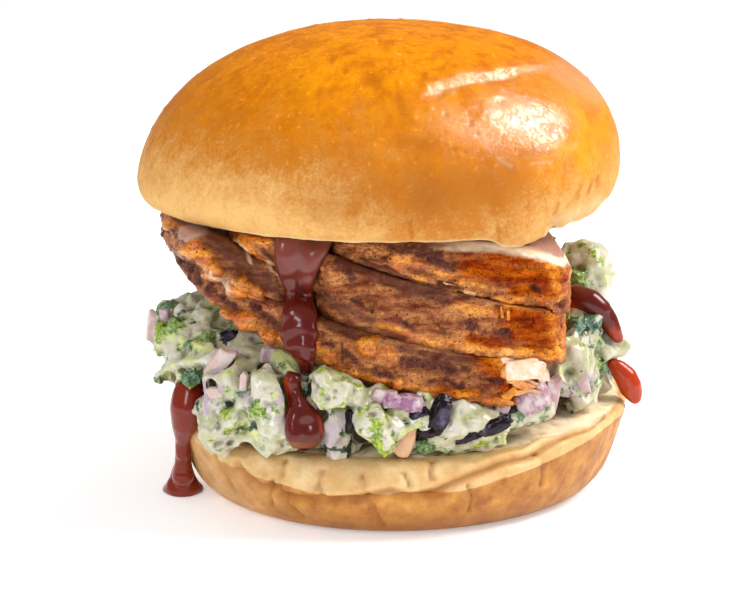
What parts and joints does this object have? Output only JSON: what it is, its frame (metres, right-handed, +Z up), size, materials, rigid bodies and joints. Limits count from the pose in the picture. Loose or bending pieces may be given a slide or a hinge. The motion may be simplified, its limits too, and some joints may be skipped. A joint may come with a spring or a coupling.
{
  "type": "rib sandwich",
  "caption": "Roast rib sandwich on a brioche bun: slices of rib fanned out over a dressed broccoli salad, with barbecue sauce running down the front and sides",
  "frame": {"origin": "centre of the base: under the middle of the bounding box, on the plane the foot of the bun stands on", "axes": "+Z up through the crown, -Y out of the front, where the ribs fan out and the sauce runs down, +X to the right of someone who looks at that front"},
  "size_m": [0.1166, 0.1084, 0.1064],
  "materials": {
    "brioche_crust": "egg-washed, baked golden brown, paler at the rims",
    "roast_rib": "rust-brown peppered bark over pale pink meat and amber fat, moist",
    "dressed_broccoli": "green florets and red onion under a creamy white dressing",
    "barbecue_sauce": "dark red-brown, wet gloss"
  },
  "bodies": {
    "root": {"bun_heel": "brioche_crust", "bun_crown": "brioche_crust", "rib_slice_bottom": "roast_rib", "rib_slice_left": "roast_rib", "rib_slice_left_top": "roast_rib", "rib_slice_middle": "roast_rib", "rib_slice_top": "roast_rib", "broccoli_salad": "dressed_broccoli", "sauce_run_ribs": "barbecue_sauce", "sauce_run_salad": "barbecue_sauce", "sauce_run_left": "barbecue_sauce", "sauce_run_right": "barbecue_sauce", "sauce_run_behind": "barbecue_sauce"}
  },
  "joints": []
}
